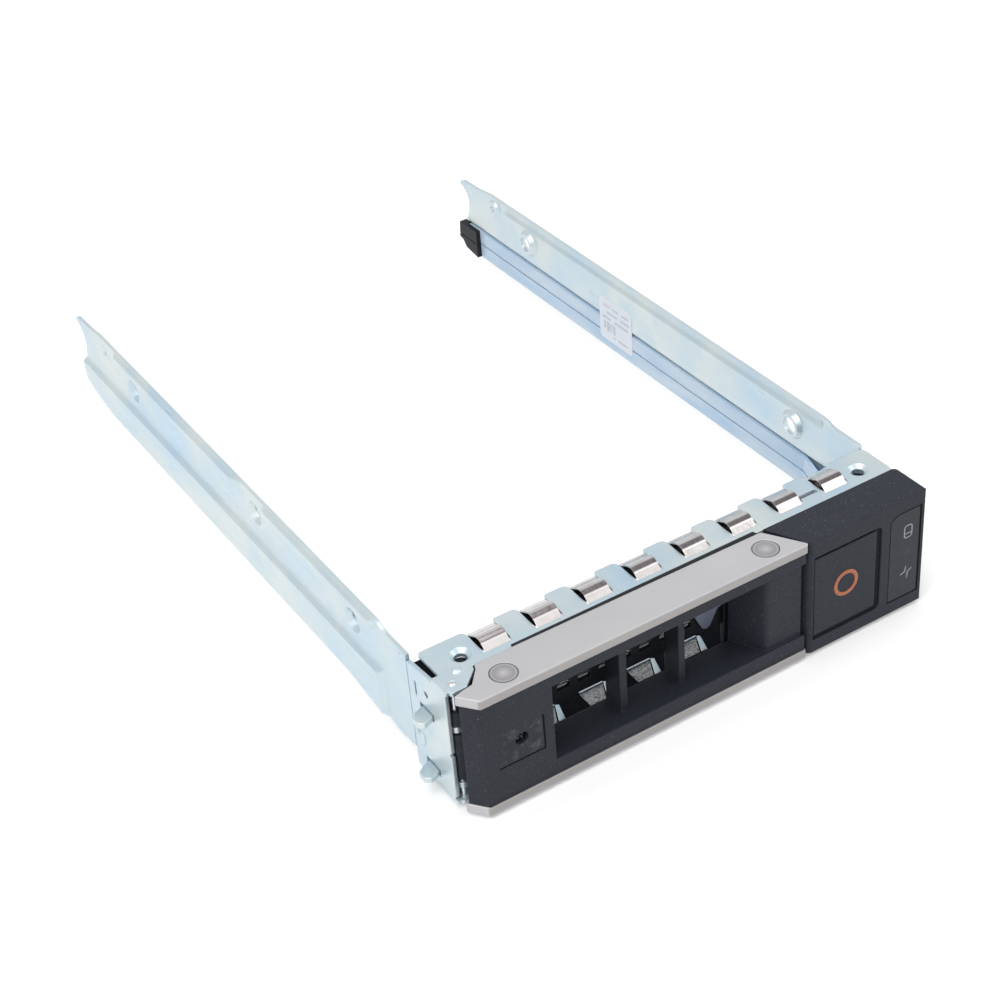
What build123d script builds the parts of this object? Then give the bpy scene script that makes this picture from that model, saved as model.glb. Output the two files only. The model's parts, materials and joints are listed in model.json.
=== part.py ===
"""Hot swap drive caddy for a 3.5 inch drive, in millimetres.

X runs to the right along the front, Y runs back along the side arms and Z is up. While it is drawn,
X = 0 is the left edge of the top flange, Y = 0 the front of the lever and Z = 0 the underside of the
lower trim plate. Every piece is then moved so that the origin is under the middle of the caddy.
"""

from build123d import *
import os

# Sheet, drive and bay
sheet = 0.8
drive_width = 101.6
dimple_reach = 1.0
seat_gap = 0.8
flange_inset = 0.8
total_height = 27.9
flange_drop = 0.5
touch = 0.02
through = 1.0

bay_width = drive_width + 2 * (dimple_reach + seat_gap)
flange_width = bay_width - 2 * flange_inset
wall_in = -flange_inset
wall_out = wall_in - sheet
right_in = flange_width + flange_inset
mid_x = flange_width / 2
mid_z = total_height / 2
flange_top = total_height - flange_drop
flange_under = flange_top - sheet
lower_flange_top = total_height - flange_under

# Places along the front, from the right
block_width = 28.4
lever_gap = 0.8
window_margin = 8.9
web_margin = 4.1
block_right = flange_width + 0.6
block_left = block_right - block_width
lever_end = block_left - lever_gap
window_end = lever_end - window_margin
right_leg_start = window_end - web_margin

# Front frame
flange_front = 9.3
flange_back = 18.3
flange_corner = 0.9
tongue_left_corner, tongue_right_corner = 0.6, 1.3
web_back = flange_front + sheet
left_leg = (11.5, 21.0)
frame_wall_front = 6.3
frame_wall_back = 19.8
frame_wall_chamfer = 1.4
corner_tab_front = 5.8
corner_tab_back = 10.8
wall_top_slope = (0.9, 2.0)
right_wall_inset = 1.8
notch_low, notch_high, notch_deep = 11.6, 12.6, 0.5
wall_slit = (17.0, 17.7, 19.0, 22.4)
wall_hole_y, wall_hole_z, wall_hole_r = 13.5, 21.7, 0.7

# Spring fingers of the grounding strips
finger_count = 8
finger_margin_left, finger_margin_right = 12.9, 12.3
finger_pitch = (flange_width - finger_margin_left - finger_margin_right) / (finger_count - 1)
finger_width = 5.3
finger_sheet = 0.25
finger_slot_front = 11.1
finger_gap_left, finger_gap_right = 0.45, 0.35
finger_crown = 1.05
finger_tip_y, finger_tip_drop = 11.5, 0.6
finger_crown_y = 14.2
finger_turn_y = 17.3
strip_front = 12.8
strip_back = 16.6
strip_margin = 3.6
bridge_front, bridge_back = 12.45, 13.5
bridge_neck = 0.8

# Flange holes and pips
left_hole_x = 6.0
right_hole_x = flange_width - 5.4
flange_hole_y = 13.2
flange_hole_r = 1.25
flange_dimple_r = 2.1
flange_dimple_depth = 0.7
flange_dimple_skin = 0.56
pip_x, pip_y, pip_r, pip_height = 3.2, 10.1, 1.0, 0.35

# Slotted screen behind the web's opening
screen_left, screen_right = left_leg[1] - 1.5, right_leg_start + 1.3
screen_low = 8.7
screen_thick = 0.8
vent_width, vent_height = 2.7, 1.3
vent_columns, vent_rows = 8, 7
vent_first_x, vent_first_z = 25.1, 11.9
vent_top_margin = 2.1
vent_right_margin = 8.24
vent_pitch_x = (window_end - vent_right_margin - vent_first_x) / (vent_columns - 1)
vent_pitch_z = (flange_under - vent_top_margin - vent_first_z) / (vent_rows - 1)

# Drive screw holes
screw_z = 21.03
front_hole_y = 40.8
hole_spacing = 101.6
rear_hole_y = front_hole_y + hole_spacing
third_hole_y, third_hole_z = 81.4, 22.6
screw_hole_r = 1.9
screw_head_r = 2.75
dimple_r = 3.4
dimple_flank = 0.8

# Side arms
tail_length = 29.9
arm_back = rear_hole_y + tail_length
arm_tip = arm_back + 1.5
arm_top = 27.5
arm_low = 6.75
arm_front_low = 4.4
arm_front_top = 26.6
tail_low, tail_high = 15.2, 25.2
arm_gap = 0.3
arm_front = frame_wall_back + arm_gap
arm_pip_y, arm_pip_z, arm_pip_r, arm_pip_height = 21.6, 25.3, 0.9, 0.4
bead_reach = 0.8
bead_low, bead_high = 24.6, 27.3
bead_corner = 1.2
bead_lean = 0.7
bead_margin, bead_long_margin = 20.8, 18.3
bead_front, bead_back = 31.0, arm_back - bead_margin
bead_long_back = arm_back - bead_long_margin
bead_break = (third_hole_y - 4.2, third_hole_y + 4.1)
bead_ramp_short, bead_ramp_long = 1.6, 5.5
band_reach = 0.9
band_high, band_full = 15.9, 14.85
band_front, band_ramp = 30.0, 1.5
lap_front = 13.0
lap_back = 21.0
lap_low, lap_high = 6.8, 14.5
lap_corner = 1.0
tail_dimple_y, tail_dimple_z, tail_dimple_r = arm_back - 14.8, 24.6, 1.9
tail_dimple_reach = 0.7
tail_hole_r = 0.8

# Rivets through wall and arm
rivet_r = 1.0
rivet_head_r = 1.7
rivet_head_height = 0.45
rivet_spots = ((17.6, 8.4), (17.6, 12.6))

# Block with the button and the lights
block_front = 0.3
block_low, block_high = 0.2, flange_top
block_wall = 1.4
block_face = 1.6
block_taper, block_run = 4.4, 8.95
block_front_corner, block_back_corner = 1.2, 1.0
lip_gap = 0.25

# Window of the block
window_right = block_right - 1.1
window_left = window_right - 7.4
pane_low, pane_high = 3.15, total_height - 3.9
pane_clip_wide, pane_clip_high = 1.9, 1.0
pane_thick = 0.8
pane_line = 0.15
lamp_x = block_right - 4.0
lamp_spread = 5.05
lamp_low_z, lamp_high_z = mid_z - lamp_spread, mid_z + lamp_spread

# Release button
button_left = block_left + 1.0
button_width = 15.2
button_right = button_left + button_width
button_low, button_high = 4.4, total_height - 5.1
button_gap = 0.2
button_travel = 2.0
button_depth = 2.9
button_wall = 1.3
button_lip = 0.6
button_lip_thick = 0.7
recess_right = button_right + 1.4
recess_low, recess_high = 3.1, total_height - 4.5
recess_deep = 0.8
recess_corner = 1.2
block_divider = (recess_right, window_left - 0.8)
ring_x, ring_z = button_left + 7.85, mid_z - 0.2
ring_out_r, ring_in_r, ring_deep, ring_sunk = 3.0, 2.3, 0.5, 0.1

# Screws that hold the block
block_screw_r = 0.7
block_screw_head_r = 1.35
block_screw_head = 0.9
boss_r = 1.4
block_screw_inset = 1.5
block_screw_front = 3.6
block_screw_x = (block_divider[0] + block_divider[1]) / 2
block_screw_spots = ((block_screw_x, lower_flange_top + block_screw_inset),
                     (block_screw_x, flange_under - block_screw_inset))

# Light pipes along the right arm
pipe_depth = 0.85
pipe_height = 3.5
pipe_low = 7.3
pipe_step = 0.4
pipe_back = arm_back - 1.3
pipe_leave_y, pipe_lane_y = 37.0, 31.6
pipe_lane_gap = 0.15
pipe_rise_start, pipe_rise_end = 31.0, 25.5
pipe_turn_y = 23.2
pipe_front = 2.6
pipe_bend_left, pipe_bend_right = 18.0, 17.6
lamp_room_x, lamp_room_z = 1.2, 0.4
holder_front, holder_back = arm_back - 6.5, arm_back + 1.9
holder_thick = 1.2
holder_split, holder_line = 11.2, 0.25

# Label
label_front, label_low = 98.9, 9.3
label_long, label_tall = 13.0, 11.1
label_thick, label_corner = 0.12, 1.0

# Lever
lever_back = 8.97
lever_back_right = 8.35
end_slant, end_run = 4.65, 7.8
ear_back_x = 6.4
rim_front = 4.0
lever_left_corner, lever_right_corner = 0.6, 0.3
pivot_x, pivot_y, pivot_r = 0.7, 7.4, 0.75
running_gap = 0.05
cap_skin = 0.8
cap_rim_low = 2.05
grip_inset = 0.3
grip_back = 8.7
window_low, window_high = 5.6, total_height - 4.7
window_start = 16.7
window_slant = 4.5
window_corner = 1.2
panel_recess = 0.7
divider_front = 3.6
divider_spans = ((33.4, 35.0), (46.9, 48.3))
groove_x, groove_low, groove_high = 14.3, 9.6, 17.9
groove_left = 4.7
groove_wide, groove_deep = 0.45, 0.5
lever_rivet_spots = ((9.3, 3.9), (lever_end - 7.4, 3.8))
lever_rivet_head_r = 2.65
lever_rivet_r = 1.2
lever_rivet_length = 6.0
fit_gap = 0.05
lever_screw_x, lever_screw_z = 9.8, 14.7
lever_screw_head_r = 1.35
lever_screw_r = 0.8
lever_screw_front = 2.6
lever_screw_head = 0.8

# Claws of the lever bracket
claw_thick = 1.2
claw_tops = (18.0, 4.6)
claw_tip_x = -5.0
claw_clear = 0.35
claw_half = 1.8
claw_root_y, claw_tip_y = 13.8, 12.6
claw_swing = 0.8
bracket_left, bracket_right = 4.5, 15.0
bracket_low, bracket_high = 3.4, 18.0
bracket_front = 7.5
eye_r = 1.25
ear_room = 0.6

# Knuckle of the grip round the pivot pin
knuckle_r = 1.35
knuckle_spans = ((5.5, 16.3), (18.5, 21.5))
knuckle_left, knuckle_right, knuckle_root_y = 0.4, 2.6, 4.0

# Latch slider and its wedge
wedge_left = button_left + 3.2
wedge_tip = 7.0
wedge_low, wedge_high = mid_z - 1.55, mid_z + 1.05
slider_front, slider_back = 5.6, 8.6
slider_low, slider_high = mid_z - 3.35, mid_z + 2.85
slider_left, slider_right = wedge_left - 3.6, wedge_left + 8.6
nose_low, nose_high = mid_z - 1.75, mid_z + 1.25
nose_out = 0.6
slide_gap = 0.15
nose_room = 0.5

# Springs
leaf_thick = 0.3
leaf_low = slider_high + 1.8
leaf_high = leaf_low + 2.8
leaf_left = button_left + 2.8
leaf_length = 11.0
leaf_right = leaf_left + leaf_length
leaf_bow = 2.9
kick_left, kick_right, kick_low, kick_high = right_leg_start + 0.4, right_leg_start + 7.4, 14.5, 19.0
kick_thick = 0.25
kick_tip_x, kick_tip_z = right_leg_start - 4.5, 10.1
kick_half, kick_wide_z = 2.65, 13.9


def block(x0, x1, y0, y1, z0, z1):
    """A box between two corners."""
    return Pos((x0 + x1) / 2, (y0 + y1) / 2, (z0 + z1) / 2) * Box(x1 - x0, y1 - y0, z1 - z0)


def outline(points, corner=0.0):
    """A flat face through the points, with its corners rounded."""
    face = make_face(Polyline(*points, close=True))
    return fillet(face.vertices(), corner) if corner else face


def plan(face, z0, z1):
    """A plan outline (x, y) raised from z0 to z1."""
    return extrude(Pos(0, 0, z0) * face, amount=z1 - z0, dir=(0, 0, 1))


def side(face, x0, x1):
    """A side outline (y, z) carried from x0 to x1."""
    return extrude(Plane.YZ.offset(x0) * face, amount=x1 - x0, dir=(1, 0, 0))


def front(face, y0, y1):
    """A front outline (x, z) carried back from y0 to y1."""
    return extrude(Plane.XZ.offset(-y0) * face, amount=y1 - y0, dir=(0, 1, 0))


def box_face(x0, x1, y0, y1):
    """A rectangle between two corners."""
    return Pos((x0 + x1) / 2, (y0 + y1) / 2) * Rectangle(x1 - x0, y1 - y0)


def rod_x(y, z, r, x0, x1):
    return side(Pos(y, z) * Circle(r), x0, x1)


def rod_y(x, z, r, y0, y1):
    return front(Pos(x, z) * Circle(r), y0, y1)


def rod_z(x, y, r, z0, z1):
    return plan(Pos(x, y) * Circle(r), z0, z1)


def cone_x(y, z, r0, r1, x0, x1):
    """A cone along X with radius r0 at x0 and r1 at x1."""
    lower = Plane.YZ.offset(x0) * (Pos(y, z) * Circle(r0))
    upper = Plane.YZ.offset(x1) * (Pos(y, z) * Circle(r1))
    return loft([lower, upper])


def cone_z(x, y, r0, r1, z0, z1):
    """A cone along Z with radius r0 at z0 and r1 at z1."""
    return loft([Pos(x, y, z0) * Circle(r0), Pos(x, y, z1) * Circle(r1)])


def press_x(y0, y1, z0, z1, lean_y0, lean_y1, lean_z, x0, x1):
    """A rounded rectangular form between x0 and x1, smaller at x1 by the leans."""
    wide = Pos((y0 + y1) / 2, (z0 + z1) / 2) * RectangleRounded(y1 - y0, z1 - z0, bead_corner)
    y0, y1, z0, z1 = y0 + lean_y0, y1 - lean_y1, z0 + lean_z, z1 - lean_z
    tight = Pos((y0 + y1) / 2, (z0 + z1) / 2) * RectangleRounded(y1 - y0, z1 - z0, bead_corner - lean_z)
    return loft([Plane.YZ.offset(x0) * wide, Plane.YZ.offset(x1) * tight])


def flip_z(piece):
    """The same piece turned top to bottom about the middle height."""
    return mirror(piece, Plane.XY.offset(mid_z))


def flip_x(piece):
    """The same piece on the other side of the bay."""
    return mirror(piece, Plane.YZ.offset(mid_x))


def finger_x(index):
    return finger_margin_left + finger_pitch * index


def finger_slots():
    """The openings in the flange that the spring fingers dip into, open to the back edge."""
    slots = []
    for index in range(finger_count):
        left = finger_x(index) - finger_width / 2 - finger_gap_left
        right = finger_x(index) + finger_width / 2 + finger_gap_right
        slots.append(box_face(left, right, finger_slot_front, flange_back + through))
    bridge_left = finger_x(finger_count - 2) + finger_width / 2
    bridge_right = finger_x(finger_count - 1) - finger_width / 2 - finger_gap_left - bridge_neck
    return slots + [box_face(bridge_left, bridge_right, bridge_front, bridge_back)]


def back_corners(face):
    """The corners on the flange's back edge, from left to right."""
    return face.vertices().group_by(Axis.Y)[-1].sort_by(Axis.X)


def flange():
    """The top flange with its pivot ear, tongues between the fingers, dimpled holes and corner tab."""
    face = outline([
        (wall_in, 5.4), (-0.5, 5.2), (2.4, 5.2), (5.9, 8.4), (6.1, flange_front),
        (flange_width - flange_corner, flange_front), (flange_width, flange_front + flange_corner),
        (flange_width, flange_back), (0, flange_back), (0, corner_tab_back), (wall_in, corner_tab_back),
    ])
    face = face - finger_slots()
    face = fillet(back_corners(face)[1::2], tongue_right_corner)
    face = fillet(back_corners(face)[::2], tongue_left_corner)
    plate = plan(face, flange_under, flange_top)
    plate += block(wall_out, wall_in, corner_tab_front, corner_tab_back, flange_under, flange_top)
    for x in (left_hole_x, right_hole_x):
        plate += cone_z(x, flange_hole_y, flange_hole_r + flange_dimple_skin,
                        flange_dimple_r + flange_dimple_skin,
                        flange_under - flange_dimple_depth, flange_under + touch)
        plate -= cone_z(x, flange_hole_y, flange_hole_r, flange_dimple_r,
                        flange_top - flange_dimple_depth, flange_top)
        plate -= rod_z(x, flange_hole_y, flange_hole_r, flange_under - 2 * through, flange_top + through)
    plate += cone_z(pip_x, pip_y, pip_r, pip_r * 0.6, flange_top, flange_top + pip_height)
    return plate


def claw_slot(top):
    """The slot in the left wall that a claw swings through."""
    reach = claw_half + claw_swing
    return block(wall_out - through, wall_in + through, claw_root_y - reach + 0.2, claw_root_y + reach,
                 top - claw_thick - claw_clear, top + claw_clear)


def web():
    """The two legs that join the flanges: beside the pivot and behind the button's block."""
    legs = block(*left_leg, flange_front, web_back, lower_flange_top, flange_under)
    legs += block(right_leg_start, right_in, flange_front, web_back, lower_flange_top, flange_under)
    for x, z in block_screw_spots:
        legs -= rod_y(x, z, block_screw_r + fit_gap, flange_front - through, web_back + through)
    for z in (lamp_low_z, lamp_high_z):
        reach = pipe_height / 2 + lamp_room_z
        legs -= block(lamp_x - lamp_room_x, lamp_x + lamp_room_x, flange_front - through, web_back + through,
                      z - reach, z + reach)
    return legs


def vent_screen():
    """The dark slotted screen behind the web's opening."""
    face = box_face(screen_left, screen_right, screen_low, flange_under)
    middle = Pos(vent_first_x + vent_pitch_x * (vent_columns - 1) / 2,
                 vent_first_z + vent_pitch_z * (vent_rows - 1) / 2)
    slots = [middle * spot * Rectangle(vent_width, vent_height)
             for spot in GridLocations(vent_pitch_x, vent_pitch_z, vent_columns, vent_rows)]
    return front(face - slots, web_back, web_back + screen_thick)


def left_wall():
    """The wall that the claws swing through, folded down from the flanges' corner tabs."""
    low = total_height - flange_top
    face = outline([
        (frame_wall_front, low + frame_wall_chamfer), (frame_wall_front + frame_wall_chamfer, low),
        (frame_wall_back, low), (frame_wall_back, flange_top - wall_top_slope[1]),
        (corner_tab_back, flange_top - wall_top_slope[0]), (corner_tab_back, flange_top),
        (frame_wall_front, flange_top),
    ])
    wall = side(face, wall_out, wall_in)
    for top_z in claw_tops:
        wall -= claw_slot(top_z)
    wall -= block(wall_out - through, wall_in + through, frame_wall_front - through,
                  frame_wall_front + notch_deep, notch_low, notch_high)
    y0, y1, z0, z1 = wall_slit
    wall -= block(wall_out - through, wall_in + through, y0, y1, z0, z1)
    return wall - rod_x(wall_hole_y, wall_hole_z, wall_hole_r, wall_out - through, wall_in + through)


def front_frame():
    """Top and bottom flange, web and the two side walls, folded from one sheet."""
    top = flange()
    right = block(right_in, right_in + sheet, flange_front, frame_wall_back,
                  total_height - flange_top + right_wall_inset, flange_top - right_wall_inset)
    frame = top + flip_z(top) + web() + left_wall() + right
    for y, z in rivet_spots:
        hole = rod_x(y, z, rivet_r + fit_gap, wall_out - through, wall_in + through)
        frame = frame - hole - flip_x(hole)
    return frame - rod_z(pivot_x, pivot_y, pivot_r, -through, total_height + through)


def finger_profile():
    """The finger seen from the side: under the flange, round a tight turn and forward over its crown."""
    low = flange_under - finger_sheet / 2
    crown = flange_top + finger_crown - finger_sheet / 2
    spine = Line((strip_front, low), (finger_turn_y, low))
    turn = ThreePointArc((finger_turn_y, low), (finger_turn_y + 0.35, low + 0.24),
                         (finger_turn_y + 0.1, low + 0.5))
    rise = ThreePointArc((finger_turn_y + 0.1, low + 0.5), (finger_crown_y + 2.2, flange_top + 0.1),
                         (finger_crown_y + 1.2, flange_top + 0.5))
    arch = ThreePointArc((finger_crown_y + 1.2, flange_top + 0.5), (finger_crown_y, crown),
                         (finger_crown_y - 1.4, flange_top + 0.35))
    dip = Line((finger_crown_y - 1.4, flange_top + 0.35), (finger_tip_y, flange_top - finger_tip_drop))
    return trace(spine + turn + rise + arch + dip, finger_sheet)


def grounding_strip():
    """The strip under the flange and its arched fingers, one thin stamped piece."""
    last = finger_x(finger_count - 1)
    strip = block(finger_margin_left - strip_margin, last + strip_margin, strip_front, strip_back,
                  flange_under - finger_sheet, flange_under)
    profile = finger_profile()
    for index in range(finger_count):
        x = finger_x(index)
        strip += side(profile, x - finger_width / 2, x + finger_width / 2)
    return strip


def arm_outline():
    """The side view of an arm, with its pointed tail and stepped front."""
    lower = Polyline(
        (arm_front, arm_front_low), (arm_front + 5.9, arm_front_low - 0.7),
        (arm_front + 12.9, arm_front_low + 0.8),
        (arm_front + 23.9, arm_low),
        (arm_back - 14.3, arm_low), (arm_back - 8.3, arm_low + 0.95), (arm_back - 2.6, arm_low + 2.35),
        (arm_back, arm_low + 3.55), (arm_back, tail_low))
    tail = Spline((arm_back, tail_low), (arm_back - 1.9, tail_low + 3.8), (arm_back - 2.0, tail_high - 3.0),
                  (arm_tip, tail_high))
    upper = Polyline(
        (arm_tip, tail_high), (arm_tip - 0.4, arm_top - 1.4), (arm_tip - 1.6, arm_top - 1.0),
        (arm_back - 7.5, arm_top - 0.75), (arm_back - 12.3, arm_top), (arm_front + 11.5, arm_top),
        (arm_front + 10.3, arm_top - 0.15), (arm_front + 8.7, arm_front_top + 0.2),
        (arm_front + 7.5, arm_front_top), (arm_front, arm_front_top), (arm_front, arm_front_low))
    return make_face(lower + tail + upper)


def band_form():
    """The outward set of an arm's lower band: sloped along its top and ramped at its front."""
    far = arm_tip + through
    section = outline([(wall_out, band_high), (wall_out - band_reach, band_full), (wall_out - band_reach, 0),
                       (wall_out, 0)])
    ramp = outline([(wall_out, band_front), (wall_out - band_reach, band_front + band_ramp),
                    (wall_out - band_reach, far), (wall_out, far)])
    return front(section, band_front, far) & plan(ramp, 0, band_high)


def dimple(arm, y, z, hole_r, head_r, cup_r, reach):
    """A cup pressed inward, countersunk from outside for a flat-head screw."""
    floor = wall_in + reach
    arm += cone_x(y, z, cup_r, cup_r - reach * dimple_flank, wall_in - touch, floor)
    arm -= cone_x(y, z, head_r, hole_r, wall_out, floor - sheet)
    return arm - rod_x(y, z, hole_r, wall_out - 2 * through, floor + through)


def arm(beads, holes):
    """A left arm; the right one is turned over. Each bead is (start, end, front ramp, back ramp)."""
    shape = arm_outline()
    band = band_form()
    piece = side(shape, wall_out, wall_in) + (band & side(shape, wall_out - band_reach, wall_in))
    piece -= Pos(sheet, 0, 0) * band
    for start, end, ramp_front, ramp_back in beads:
        form = press_x(start, end, bead_low, bead_high, ramp_front, ramp_back, bead_lean,
                       wall_out, wall_out - bead_reach)
        piece = piece + form - Pos(sheet, 0, 0) * form
    for y, z in holes:
        piece = dimple(piece, y, z, screw_hole_r, screw_head_r, dimple_r, dimple_reach)
    piece = dimple(piece, tail_dimple_y, tail_dimple_z, tail_hole_r, tail_dimple_r * 0.8, tail_dimple_r + 0.4,
                   tail_dimple_reach)
    piece += cone_x(arm_pip_y, arm_pip_z, arm_pip_r * 0.6, arm_pip_r, wall_out - arm_pip_height, wall_out)
    lap = outline([(lap_front, lap_low), (lap_back, lap_low), (lap_back, lap_high), (lap_front, lap_high)],
                  lap_corner)
    piece += side(lap, wall_in, wall_in + sheet)
    for y, z in rivet_spots:
        piece -= rod_x(y, z, rivet_r + fit_gap, wall_out - 2 * through, wall_in + 2 * through)
    return piece


def left_rail():
    front_bead = (bead_front, bead_break[0], bead_ramp_short, bead_ramp_short)
    back_bead = (bead_break[1], bead_back, bead_ramp_long, bead_ramp_short)
    holes = ((front_hole_y, screw_z), (rear_hole_y, screw_z), (third_hole_y, third_hole_z))
    return arm((front_bead, back_bead), holes)


def right_rail():
    bead = (bead_front, bead_long_back, bead_ramp_short, bead_ramp_short)
    return flip_x(arm((bead,), ((front_hole_y, screw_z), (rear_hole_y, screw_z))))


def rail_rivets():
    """The rivets of both sides: a shank, a low head outside and a formed head inside."""
    group = None
    for y, z in rivet_spots:
        shank = rod_x(y, z, rivet_r, wall_out - touch, wall_in + sheet + touch)
        outer = cone_x(y, z, rivet_head_r * 0.7, rivet_head_r, wall_out - rivet_head_height, wall_out)
        inner = cone_x(y, z, rivet_head_r, rivet_head_r * 0.7, wall_in + sheet,
                       wall_in + sheet + rivet_head_height)
        rivet = shank + outer + inner
        pair = [rivet, flip_x(rivet)]
        group = pair if group is None else group + pair
    return Compound(group)


def light_pipe(low, lamp_z):
    """A flat clear bar that runs forward along the arm, rises to its lamp's height and turns in."""
    outer = right_in + pipe_depth
    lane_in = mid_x + drive_width / 2 + pipe_lane_gap
    lane_out = lane_in + pipe_depth
    leave = outline([(outer, pipe_back), (outer, pipe_leave_y), (lane_out, pipe_lane_y),
                     (lane_out, pipe_rise_start), (lane_in, pipe_rise_start), (lane_in, pipe_lane_y),
                     (right_in, pipe_leave_y), (right_in, pipe_back)])
    bar = plan(leave, low, low + pipe_height)
    base = lamp_z - pipe_height / 2
    rise = outline([(pipe_rise_start, low), (pipe_rise_start, low + pipe_height),
                    (pipe_rise_end, base + pipe_height), (pipe_turn_y, base + pipe_height),
                    (pipe_turn_y, base), (pipe_rise_end, base)])
    bar += side(rise, lane_in, lane_out)
    turn = outline([(lane_out, pipe_turn_y), (lane_in, pipe_turn_y), (lamp_x - 0.5, pipe_bend_left),
                    (lamp_x - 0.5, pipe_front), (lamp_x + 0.5, pipe_front),
                    (lamp_x + 0.5, pipe_bend_right)])
    return bar + plan(turn, base, base + pipe_height)


def light_pipe_holder():
    """The dark clip that carries the rear ends of both light pipes."""
    face = outline([(holder_front, 7.4), (arm_back - 1.0, 8.3), (arm_back + 0.3, 9.9), (holder_back, 10.3),
                    (holder_back - 0.5, band_full - 0.1), (holder_front, band_full - 0.1)])
    clip = side(face, right_in - holder_thick, right_in)
    behind = block(0, right_in + through, pipe_back, holder_back + through, 0, total_height)
    clip += side(face, right_in, right_in + pipe_depth) & behind
    groove = block(right_in - holder_thick - through, right_in - holder_thick + holder_line,
                   holder_front - through, holder_back + through, holder_split, holder_split + holder_line)
    return clip - groove


def rail_label():
    face = Pos(label_front + label_long / 2, label_low + label_tall / 2) * RectangleRounded(
        label_long, label_tall, label_corner)
    return side(face, right_in - label_thick, right_in)


def lever_outline(inset=0.0):
    """The lever in plan: slanted right end, chamfered left end and the notch round the pivot ear."""
    face = outline([
        (-1.0, 3.7), (1.9, 0.0), (lever_end, 0.0), (lever_end - end_slant, end_run),
        (lever_end - end_slant - 0.6, lever_back_right), (ear_back_x, lever_back), (5.9, 7.8), (3.2, 4.6),
        (0.9, 4.2),
    ])
    face = fillet(face.vertices().group_by(Axis.Y)[0].sort_by(Axis.X)[-1], lever_right_corner)
    face = fillet(face.vertices().group_by(Axis.Y)[0].sort_by(Axis.X)[0], lever_left_corner)
    return offset(face, -inset) if inset else face


def trim_plate():
    """The upper cap: a skin with a rim folded down at the front and both ends."""
    face = lever_outline()
    skin = plan(face, total_height - cap_skin, total_height)
    open_back = box_face(ear_back_x, lever_end - end_slant - 2 * cap_skin, rim_front, lever_back + through)
    hollow = offset(face, -cap_skin) + open_back
    rim_low, above = total_height - cap_rim_low, total_height + through
    plate = skin + plan(face - hollow, rim_low, total_height - cap_skin)
    for x, y in lever_rivet_spots:
        plate -= rod_z(x, y, lever_rivet_head_r + fit_gap, total_height - cap_skin / 2, above)
        plate -= rod_z(x, y, lever_rivet_r + fit_gap, rim_low - through, above)
    return plate


def lever_rivets():
    """Two flush rivets in each trim plate, set into the grip."""
    group = []
    for x, y in lever_rivet_spots:
        top = total_height - touch
        rivet = rod_z(x, y, lever_rivet_r, top - lever_rivet_length, top)
        rivet += rod_z(x, y, lever_rivet_head_r, total_height - cap_skin / 2, top)
        group += [rivet, flip_z(rivet)]
    return Compound(group)


def grip_windows():
    """The opening behind the handle's front, split by two dividers that stand back from it."""
    y0 = grip_inset + panel_recess
    lean = window_slant / (grip_back - grip_inset)
    far = grip_back + through
    face = outline([
        (window_start, -through), (window_start, far), (window_end - lean * (far - grip_inset), far),
        (window_end - lean * panel_recess, y0), (lever_end + through, y0), (lever_end + through, -through),
    ])
    corner = face.vertices().sort_by_distance((window_end, y0))[0]
    face = fillet(corner, window_corner)
    for x0, x1 in divider_spans:
        face -= box_face(x0, x1, divider_front, far + through)
    return plan(face, window_low, window_high)


def pivot_knuckle():
    """The grip's bearing round the pivot pin, in two lengths between the claws."""
    web_face = outline([
        (knuckle_left, knuckle_root_y), (knuckle_right, knuckle_root_y),
        (knuckle_right, pivot_y - knuckle_r / 2), (pivot_x, pivot_y), (knuckle_left, pivot_y),
    ])
    face = web_face + Pos(pivot_x, pivot_y) * Circle(knuckle_r)
    face -= Pos(pivot_x, pivot_y) * Circle(pivot_r + running_gap)
    low, high = (plan(face, *span) for span in knuckle_spans)
    return low + high


def lever_grip():
    """The moulded handle: its windows, an L-shaped groove, the knuckle and a pocket for the bracket."""
    span = box_face(claw_tip_x, lever_end + through, 0, grip_back)
    body = plan(lever_outline(grip_inset) & span, cap_rim_low, total_height - cap_rim_low)
    body += plan(offset(lever_outline(), -cap_skin - fit_gap) & span, cap_skin, total_height - cap_skin)
    body -= rod_z(pivot_x, pivot_y, eye_r + ear_room, -through, total_height + through)
    body += pivot_knuckle()
    body -= grip_windows()
    groove_back = grip_inset + groove_deep
    body -= block(groove_x, groove_x + groove_wide, 0, groove_back, groove_low, groove_high)
    body -= block(groove_left, groove_x + groove_wide, 0, groove_back, groove_low, groove_low + groove_wide)
    for x, y in lever_rivet_spots:
        hole = rod_z(x, y, lever_rivet_r + fit_gap, total_height - lever_rivet_length - fit_gap, total_height)
        body = body - hole - flip_z(hole)
    body -= block(bracket_left - fit_gap, bracket_right + fit_gap, bracket_front - fit_gap,
                  grip_back + through, bracket_low - fit_gap, bracket_high + fit_gap)
    body -= rod_y(lever_screw_x, lever_screw_z, lever_screw_head_r + fit_gap, -through,
                  lever_screw_front + lever_screw_head)
    body -= rod_y(lever_screw_x, lever_screw_z, lever_screw_r + fit_gap, 0, grip_back + through)
    body -= block(lever_end - end_slant - 2 * nose_room, lever_end + through, slider_front - nose_room,
                  slider_back + 2 * nose_room, nose_low - nose_room, nose_high + nose_room)
    for top in claw_tops:
        body -= plan(claw_clearance(), top - claw_thick - fit_gap, top + fit_gap)
    return body


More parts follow.
